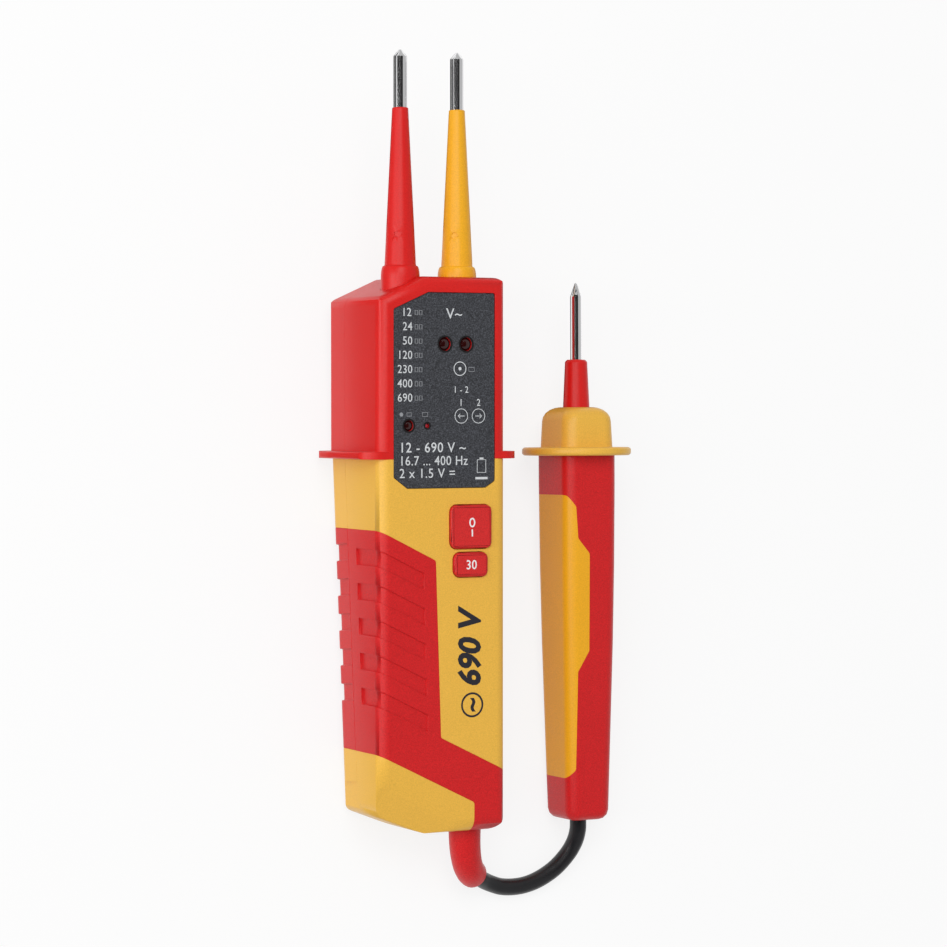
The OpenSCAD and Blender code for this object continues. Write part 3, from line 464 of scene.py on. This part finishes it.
@dataclass
class Camera:
    """The photograph's viewpoint, above and to the left of the tester."""

    place: Place = (-428.27, 16.34, 859.98)
    yaw: float = 28.0
    pitch: float = 1.34
    lens: float = 119.14

    def build(self) -> bpy.types.Object:
        """Makes the camera and puts it in the scene."""
        th, ph = math.radians(self.yaw), math.radians(self.pitch)
        forward = Vector((math.sin(th) * math.cos(ph), -math.sin(ph), -math.cos(th) * math.cos(ph)))
        right = Vector((math.cos(th), 0, math.sin(th)))
        up = right.cross(forward)
        data = bpy.data.cameras.new("camera")
        data.lens, data.sensor_width, data.sensor_fit = self.lens, 36, "AUTO"
        data.clip_start, data.clip_end = 0.01, 50
        obj = bpy.data.objects.new("camera", data)
        axes = (right, up, -forward)
        rows = [(*[axis[k] for axis in axes], self.place[k] * MM) for k in range(3)]
        obj.matrix_world = HOUSING @ Matrix((*rows, (0, 0, 0, 1)))
        bpy.context.scene.collection.objects.link(obj)
        bpy.context.scene.camera = obj
        return obj


@dataclass
class Lead:
    """The free lead between the strain relief and the hand probe."""

    diameter: float = 5.2
    sides: int = 20
    per_step: int = 4
    route: tuple[Place, ...] = (
        (19.2, -123.18, 7.5), (19.91, -123.45, 6.86), (22.2, -124.6, 5.6), (24.9, -125.9, 4.1),
        (27.9, -127.1, 3.2), (31.1, -128.1, 2.75), (34.9, -128.5, 2.63), (38.9, -128.3, 2.61),
        (42.9, -127.4, 2.63), (46.8, -125.8, 2.75), (50.2, -123.7, 3.2), (52.9, -121.1, 4),
        (54.9, -118.2, 5.2), (56, -115, 6.7), (56.3, -111.9, 7.9),
        (56.2, -109.19, 8.46), (56.2, -108.4, 8.51))

    def centreline(self) -> list[Vector]:
        """The route, subdivided along a smooth curve through its points."""
        pts = [Vector(p) for p in self.route]
        ends = [2 * pts[0] - pts[1], *pts, 2 * pts[-1] - pts[-2]]
        line: list[Vector] = []
        for a, b, c, d in zip(ends, ends[1:], ends[2:], ends[3:]):
            for k in range(self.per_step):
                t = k / self.per_step
                line.append(0.5 * (2 * b + (c - a) * t + (2 * a - 5 * b + 4 * c - d) * t * t
                                   + (3 * b - a - 3 * c + d) * t ** 3))
        return [p * MM for p in [*line, pts[-1]]]

    def build(self) -> None:
        line = self.centreline()
        obj = new_object("lead_sheath", sweep(line, self.diameter / 2 * MM, self.sides))
        obj.data.shade_smooth()
        dress(obj, Finish.CORD)
        length = sum((b - a).length for a, b in zip(line, line[1:]))
        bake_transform(obj)
        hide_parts("lead")
        log.info("lead: %.1f mm long", length / MM)


def sweep(line: Sequence[Vector], radius: float, sides: int) -> bmesh.types.BMesh:
    """A closed round tube along a line, made by extruding one ring of edges from point to point.

    Args:
        line: Points of the middle line.
        radius: Its radius.
        sides: Sides of the tube.

    Returns:
        The tube as a bmesh.
    """
    mesh = bmesh.new()
    ring = bmesh.ops.create_circle(mesh, segments=sides, radius=1, cap_ends=False)["verts"]
    heads = [(b - a).normalized() for a, b in zip(line, line[1:])]
    heads = [heads[0], *[(a + b).normalized() for a, b in zip(heads, heads[1:])], heads[-1]]
    side = heads[0].orthogonal().normalized()
    unit = [v.co.copy() for v in ring]
    edges = list({e for v in ring for e in v.link_edges})
    first = edges
    for k, (point, head) in enumerate(zip(line, heads)):
        side = (side - side.dot(head) * head).normalized()
        up = head.cross(side)
        if k:
            grown = bmesh.ops.extrude_edge_only(mesh, edges=edges)["geom"]
            edges = [g for g in grown if isinstance(g, bmesh.types.BMEdge)]
            ring = _ordered(ring, grown)
        for v, c in zip(ring, unit):
            v.co = point + radius * (c.x * side + c.y * up)
    for end in (first, edges):
        bmesh.ops.edgeloop_fill(mesh, edges=end)
    bmesh.ops.recalc_face_normals(mesh, faces=mesh.faces)
    return mesh


def _ordered(ring: list[bmesh.types.BMVert], grown: list[Any]) -> list[bmesh.types.BMVert]:
    """The new vertex that was extruded from each vertex of a ring, in the ring's order."""
    fresh = {v for v in grown if isinstance(v, bmesh.types.BMVert)}
    return [next(e.other_vert(v) for e in v.link_edges if e.other_vert(v) in fresh) for v in ring]


# ---------- legends ----------


@dataclass(frozen=True)
class Word:
    """One short legend of plain figures on the front.

    Its middle, or its left or right end, stands at x and y. Height is that of its figures, and all three are
    in millimetres. Turn is in degrees. Squeeze narrows the figures, spread parts them, and heavy thickens them.
    """

    text: str
    x: float
    y: float
    height: float
    align: str = "CENTER"
    turn: float = 0
    squeeze: float = 0.92
    spread: float = 1.06
    shear: float = 0
    ink: Finish = Finish.WHITE_INK
    heavy: float = 0.002


@dataclass
class Legends:
    """Printed figures and plain symbols."""

    thickness: float = 0.03
    figure_height: float = 0.72  # of the font's size

    def word(self, name: str, word: Word, z: float, body: str = "housing") -> None:
        """Makes one legend as a thin mesh.

        Args:
            name: The piece's name.
            word: What it says and where.
            z: Height of the surface it lies on, in millimetres.
            body: The body it rides on.
        """
        curve = bpy.data.curves.new(name, "FONT")
        curve.body, curve.align_x, curve.align_y = word.text, word.align, "CENTER"
        curve.size, curve.shear, curve.offset = 1, word.shear, word.heavy
        curve.space_character = word.spread
        curve.resolution_u = 3
        maker = bpy.data.objects.new(name + "_curve", curve)
        bpy.context.scene.collection.objects.link(maker)
        bpy.context.view_layer.update()
        data = bpy.data.meshes.new_from_object(maker.evaluated_get(bpy.context.evaluated_depsgraph_get()))
        bpy.data.objects.remove(maker)
        bpy.data.curves.remove(curve)
        mesh = bmesh.new()
        mesh.from_mesh(data)
        bpy.data.meshes.remove(data)
        size = word.height / self.figure_height * MM
        place = (Matrix.Translation(mm(word.x, word.y, z + self.thickness))
                 @ Matrix.Rotation(math.radians(word.turn), 4, "Z")
                 @ Matrix.Diagonal((size * word.squeeze, size, size, 1)))
        bmesh.ops.transform(mesh, matrix=place, verts=mesh.verts)
        self._finish(name, mesh, word.ink, body)

    def outline(self, name: str, points: Points, z: float, width: float,
                ink: Finish = Finish.WHITE_INK, body: str = "housing", closed: bool = True) -> None:
        """Makes a thin line along points of the front.

        Args:
            name: The piece's name.
            points: The line's corners, in millimetres.
            z: Height of the surface it lies on.
            width: Width of the line.
            ink: Its colour.
            body: The body it rides on.
            closed: Whether its last point joins its first.
        """
        mesh = bmesh.new()
        path = [Vector((x, y)) for x, y in points]
        count = len(path)
        rows = []
        for k, p in enumerate(path):
            before = path[k - 1] if closed or k else 2 * p - path[1]
            after = path[(k + 1) % count] if closed or k < count - 1 else 2 * p - path[k - 1]
            along = (after - before).normalized()
            off = Vector((-along.y, along.x)) * width / 2
            rows.append([mesh.verts.new(mm(*(p + s * off), z + self.thickness)) for s in (-1, 1)])
        for a, b in zip(rows, [*rows[1:], rows[0]] if closed else rows[1:]):
            mesh.faces.new((a[0], b[0], b[1], a[1]))
        self._finish(name, mesh, ink, body)

    def disc(self, name: str, x: float, y: float, radius: float, z: float, ink: Finish) -> None:
        """Makes a filled round mark."""
        mesh = bmesh.new()
        bmesh.ops.create_circle(mesh, segments=28, radius=radius * MM, cap_ends=True,
                                matrix=Matrix.Translation(mm(x, y, z + self.thickness)))
        self._finish(name, mesh, ink, "housing")

    def _finish(self, name: str, mesh: bmesh.types.BMesh, ink: Finish, body: str) -> None:
        """Thickens a flat legend downwards into its surface and makes it a piece."""
        bmesh.ops.remove_doubles(mesh, verts=mesh.verts, dist=0.002 * MM)
        bmesh.ops.recalc_face_normals(mesh, faces=mesh.faces)
        if sum(f.normal.z for f in mesh.faces) < 0:
            bmesh.ops.reverse_faces(mesh, faces=mesh.faces)
        grown = bmesh.ops.extrude_face_region(mesh, geom=mesh.faces[:])["geom"]
        low = [v for v in grown if isinstance(v, bmesh.types.BMVert)]
        bmesh.ops.translate(mesh, vec=(0, 0, -2 * self.thickness * MM), verts=low)
        bmesh.ops.recalc_face_normals(mesh, faces=mesh.faces)
        bmesh.ops.transform(mesh, matrix=HOUSING, verts=mesh.verts)
        piece(name, mesh, ink, body)


def ring(x: float, y: float, radius: float, high: float | None = None, steps: int = 40) -> Points:
    """Points of a circle, or of an upright ellipse where its half height is given."""
    high = radius if high is None else high
    turns = [2 * math.pi * k / steps for k in range(steps)]
    return [(x + radius * math.cos(a), y + high * math.sin(a)) for a in turns]


def box(x: float, y: float, width: float, height: float) -> Points:
    """Corners of an upright rectangle round a point."""
    w, h = width / 2, height / 2
    return (x - w, y - h), (x + w, y - h), (x + w, y + h), (x - w, y + h)


# ---------- sub-assemblies ----------


@dataclass
class Head:
    """The red head with its guard, display panel and lights."""

    panel_z: float = 35.8
    figures: tuple[str, ...] = ("12", "24", "50", "120", "230", "400", "690")
    level_top: float = 42.16
    level_pitch: float = 4.2
    level_columns: tuple[float, float] = (-9.1, -7.7)
    turn_y: float = 11.64
    # Middles and radii of the black rings of painted shade round the lenses.
    shade_rings: tuple[Place, ...] = ((0.4, 33, 2.3), (7.5, 33, 2.3), (-11.6, 8.8, 1.9), (-5.5, 8.8, 0.95))
    legends: Legends = field(default_factory=Legends)

    def build(self) -> None:
        """Dresses the CAD nodes and prints the panel."""
        finish_nodes((
            ("head_front_shell", Finish.RED, Edge(0.08, 2, 50)),
            ("head_rear_shell", Finish.RED, Edge(0.08, 2, 50)),
            ("display_panel", Finish.PANEL, Edge(0.2, 2)),
            ("pointer_lenses", Finish.LENS, None),
            ("contact_lens", Finish.LENS, None),
            ("battery_lens", Finish.DOT, None),
            ("light_guide", Finish.CLEAR, None)))
        self.print_scale()
        self.print_symbols()

    def print_scale(self) -> None:
        """The column of plain voltages, each with the two small windows of its lights."""
        for k, figure in enumerate(self.figures):
            x, y = -10.7 + 0.3 * min(k, 1), self.level_top - k * self.level_pitch
            self.legends.word(f"figure_{figure}", Word(figure, x, y, 2.5, "RIGHT"), self.panel_z)
            for m, column in enumerate(self.level_columns):
                self.legends.outline(f"level_{k}_{m}", box(column, y, 0.9, 1.3), self.panel_z, 0.2,
                                     Finish.GREY_INK)

    def print_symbols(self) -> None:
        """The panel's other plain figures and marks, and black rings of painted shade round its lenses."""
        z, y = self.panel_z, self.turn_y
        words = {
            "volts": Word("V~", 3.5, 41.85, 3.2, squeeze=1.0),
            "range": Word("1 - 2", 5.75, 19.37, 2.0),
            "one": Word("1", 5.75, 15.55, 2.1),
            "two": Word("2", 11.65, 15.55, 2.1),
            "rating": Word("12 - 690 V ~", -14.8, 2.2, 3.0, "LEFT", squeeze=0.96, spread=1.08,
                           heavy=0.006),
            "hertz": Word("16.7 ... 400 Hz", -14.8, -1.7, 2.85, "LEFT"),
            "supply": Word("2 x 1.5 V =", -14.8, -5.4, 2.85, "LEFT", squeeze=0.96, spread=1.08),
        }
        for name, word in words.items():
            self.legends.word(f"print_{name}", word, z)
        for side, x in ((-1, 5.85), (1, 11.61)):
            tip, barb = x + side * 1.1, x + side * 0.4
            self.legends.outline(f"turn_ring_{x:.0f}", ring(x, y, 2.12), z, 0.2)
            self.legends.outline(f"turn_arrow_{x:.0f}", ((barb, y + 0.66), (tip, y), (barb, y - 0.66)),
                                 z, 0.2, closed=False)
            self.legends.outline(f"turn_shaft_{x:.0f}", ((x - side * 1.1, y), (tip, y)), z, 0.2, closed=False)
        for name, corners in (("cell", box(-6.27, 12.12, 1.7, 1.2)), ("sound", box(-11.5, 12.12, 1.5, 1.0)),
                              ("charge", box(9.28, 25.47, 1.9, 1.2))):
            self.legends.outline(f"symbol_{name}", corners, z, 0.17, Finish.GREY_INK)
        self.legends.disc("symbol_dot", -14.1, 12.12, 0.6, z, Finish.GREY_INK)
        self.legends.outline("symbol_ring", ring(5.4, 25.7, 2.0), z, 0.25)
        self.legends.disc("symbol_ring_dot", 5.4, 25.7, 0.5, z, Finish.WHITE_INK)
        self.legends.outline("symbol_supply", box(12.65, -3.3, 2.9, 3.8), z, 0.22)
        self.legends.outline("symbol_supply_pole", ((12.0, -1.0), (13.3, -1.0)), z, 0.5, closed=False)
        self.legends.outline("symbol_bar", ((10.6, -6.9), (14.7, -6.9)), z, 0.7, closed=False)
        # Black rings round the lenses paint the shade of each recessed hole's wall and of the gap round the
        # lens: painted shade, not print.
        for k, (x, y, radius) in enumerate(self.shade_rings):
            self.legends.outline(f"lens_shade_ring_{k}", ring(x, y, radius), z, 0.5, Finish.SHADE_RING_INK)


@dataclass
class Body:
    """The yellow body with its soft grips, keys and battery lid."""

    front_z: float = 36
    key_z: float = 37.1
    legends: Legends = field(default_factory=Legends)

    def build(self) -> None:
        """Dresses the body's CAD nodes and prints the keys and the front."""
        finish_nodes((
            ("front_shell", Finish.YELLOW, Edge(0.1, 2, 70)),
            ("rear_shell", Finish.YELLOW, Edge(0.3, 2, clamp=True)),
            ("front_grip", Finish.RED_SOFT, Edge(0.14, 3, 70)),
            ("rear_grip", Finish.RED_SOFT, Edge(0.32, 3)),
            ("cell_cover", Finish.RED, Edge(0.2, 2)),
            ("power_button", Finish.RED_KEY, Edge(0.35, 3)),
            ("test_button", Finish.RED_KEY, Edge(0.35, 3)),
            ("strain_relief", Finish.RED_SOFT, Edge(0.15, 2, 50)),
            ("housing_screws", Finish.STEEL, Edge(0.12, 2)),
            ("cell_cover_screw", Finish.STEEL, Edge(0.12, 2))))
        ink, z = Finish.KEY_INK, self.key_z
        self.legends.outline("key_off", ring(8.86, -20.05, 0.78, 1.2, 36), z, 0.46, ink, "power_key")
        self.legends.outline("key_on", ((8.86, -22.1), (8.86, -24.2)), z, 0.46, ink, "power_key", False)
        self.legends.word("key_test", Word("30", 8.6, -32.75, 2.8, ink=ink, heavy=0.01), z, "test_key")
        ink, z = Finish.DARK_INK, self.front_z
        self.legends.word("mark_range", Word("690 V", 8.9, -57.9, 7.3, turn=90, squeeze=0.95, spread=0.98,
                                             shear=0.2, ink=ink, heavy=0.035), z)
        self.legends.outline("mark_ring", ring(9.4, -74.5, 3.45), z, 0.6, ink)
        self.legends.word("mark_wave", Word("~", 9.4, -74.5, 5.4, turn=90, ink=ink, heavy=0.03), z)


@dataclass
class Prongs:
    """The two fixed pins in their coloured sleeves."""

    def build(self) -> None:
        """Dresses the prongs' CAD nodes."""
        edge = Edge(0.08, 2)
        finish_nodes((
            ("left_pin", Finish.PIN, edge), ("right_pin", Finish.PIN, edge),
            ("left_sleeve", Finish.RED, edge), ("right_sleeve", Finish.AMBER, edge),
            ("prong_terminals", Finish.BRASS, edge)))


@dataclass
class HandProbe:
    """The hand probe: handle, inlay, nose with its guard disc, cone and pin."""

    def build(self) -> None:
        """Dresses the hand probe's CAD nodes."""
        finish_nodes((
            ("probe_handle", Finish.RED_SOFT, Edge(0.2, 2, clamp=True)),
            ("probe_inlay", Finish.AMBER, Edge(0.2, 2, clamp=True)),
            ("probe_nose", Finish.YELLOW, Edge(0.25, 3)),
            ("probe_cone", Finish.RED, Edge(0.15, 2)),
            ("probe_pin", Finish.PIN, Edge(0.08, 2))))


@dataclass
class Insides:
    """Everything that the closed tester hides."""

    finishes: tuple[tuple[Finish, tuple[str, ...]], ...] = (
        (Finish.SEAL, ("housing_seal", "cell_cover_seal", "probe_nose_seal")),
        (Finish.BLACK, ("power_plunger", "test_plunger", "power_switch", "test_switch", "processor", "buzzer",
                        "lead_clamp")),
        (Finish.BOARD, ("main_board", "probe_board")),
        (Finish.CLEAR, ("indicator_leds",)),
        (Finish.CERAMIC, ("divider_resistors", "load_thermistors", "probe_resistors")),
        (Finish.CELL, ("cell_left", "cell_right")),
        (Finish.STEEL, ("cell_contacts", "cell_springs", "probe_lead_ferrule")),
        (Finish.CORD, ("lead_inner_end", "probe_lead_end")))

    def build(self) -> None:
        """Dresses the inner CAD nodes."""
        for finish, nodes in self.finishes:
            finish_nodes((node, finish, None) for node in nodes)


@dataclass
class Studio:
    """Plain pale floor, a long and a square soft lamp, and dark cards.

    Only reflections see the cards. They keep the glossy plastic deep in colour and give bright metal its dark
    streak. Places and sizes are in metres. Glow is how much of the floor's seen brightness is its own light.
    """

    floor_size: float = 6.0
    floor_white: float = 0.86
    glow: float = 0.82
    world: float = 0.5
    floor_z: float = -0.0003
    lamp_aim: Place = (0.02, 0, 0.02)
    card_aim: Place = (0, 0, 0.02)

    def build(self) -> None:
        """Makes the floor, the world, the lamps and the cards."""
        mesh = bmesh.new()
        bmesh.ops.create_grid(mesh, x_segments=1, y_segments=1, size=self.floor_size,
                              matrix=Matrix.Translation((0, 0, self.floor_z)))
        floor = new_object("floor", mesh)
        g = Graph("floor_white")
        paths = g.add("ShaderNodeLightPath", out="Is Camera Ray")
        shiny = g.add("ShaderNodeLightPath", out="Is Glossy Ray")
        seen = (paths + shiny) * self.glow
        paint = g.add("ShaderNodeBsdfDiffuse", None, {"Color": (self.floor_white,) * 3})
        glow = g.add("ShaderNodeEmission", None, {"Color": (1.0, 1.0, 1.0), "Strength": 1.0})
        mix = g.add("ShaderNodeMixShader", None, {0: seen, 1: paint, 2: glow})
        g.tree.links.new(mix.socket, g.output.inputs["Surface"])
        floor.data.materials.append(g.material)
        world = bpy.data.worlds.new("world")
        bpy.context.scene.world = world
        world.use_nodes = True
        sky = world.node_tree.nodes["Background"]
        sky.inputs["Color"].default_value = (1, 1, 1, 1)
        sky.inputs["Strength"].default_value = self.world
        self.lamp("key", (-1.45, 0.02, 0.86), 0.3, 1.8, 11.5)
        self.lamp("top", (-0.5, 0.55, 1.45), 0.9, 0.9, 10.5)
        self.card("card", (-0.62, 0.02, 1.22), 2.4, 3.0, 0.02)
        self.card("floor_card", (-0.15, -0.02, 0.0002), 0.24, 0.6, 0.1, level=True)
        self.card("pin_card", (0.011, 0.11, 0.0002), 0.07, 0.07, 0.01, level=True)
        self.card("probe_pin_card", (0.06, 0.055, 0.0002), 0.03, 0.07, 0.01, level=True)

    def lamp(self, name: str, place: Place, width: float, length: float, watts: float) -> None:
        """A soft lamp aimed at the tester, its length along the tester's."""
        data = bpy.data.lights.new(name, "AREA")
        data.shape, data.size, data.size_y, data.energy = "RECTANGLE", width, length, watts
        obj = bpy.data.objects.new(name, data)
        obj.location = place
        obj.rotation_euler = (Vector(self.lamp_aim) - Vector(place)).to_track_quat("-Z", "Y").to_euler()
        bpy.context.scene.collection.objects.link(obj)

    def card(self, name: str, place: Place, width: float, length: float, grey: float,
             level: bool = False) -> None:
        """A dark card that only reflections see.

        Args:
            name: The object's name.
            place: Its middle.
            width: Its size across the tester.
            length: Its size along the tester.
            grey: How bright it is in reflections.
            level: Whether it lies level. If not, it faces the tester.
        """
        mesh = bmesh.new()
        bmesh.ops.create_grid(mesh, x_segments=1, y_segments=1, size=0.5)
        gaze = Vector((0, 0, -1)) if level else Vector(self.card_aim) - Vector(place)
        aim = gaze.to_track_quat("-Z", "Y").to_matrix().to_4x4()
        size = Matrix.Diagonal((width, length, 1, 1))
        bmesh.ops.transform(mesh, matrix=Matrix.Translation(place) @ aim @ size, verts=mesh.verts)
        card = new_object(name, mesh)
        g = Graph(name + "_dark")
        dark = g.add("ShaderNodeEmission", None, {"Color": (grey, grey, grey), "Strength": 1.0})
        g.tree.links.new(dark.socket, g.output.inputs["Surface"])
        card.data.materials.append(g.material)
        card.visible_camera = card.visible_diffuse = card.visible_shadow = False


def main() -> None:
    """Builds everything in order."""
    logging.basicConfig(level=logging.INFO, format="%(message)s")
    bpy.context.scene.view_settings.view_transform = "Standard"
    Camera().build()
    Lead().build()
    for part in (Head(), Body(), Prongs(), HandProbe(), Insides()):
        part.build()
        log.info("%s done", type(part).__name__)
    Studio().build()


if __name__ == "__main__":
    main()
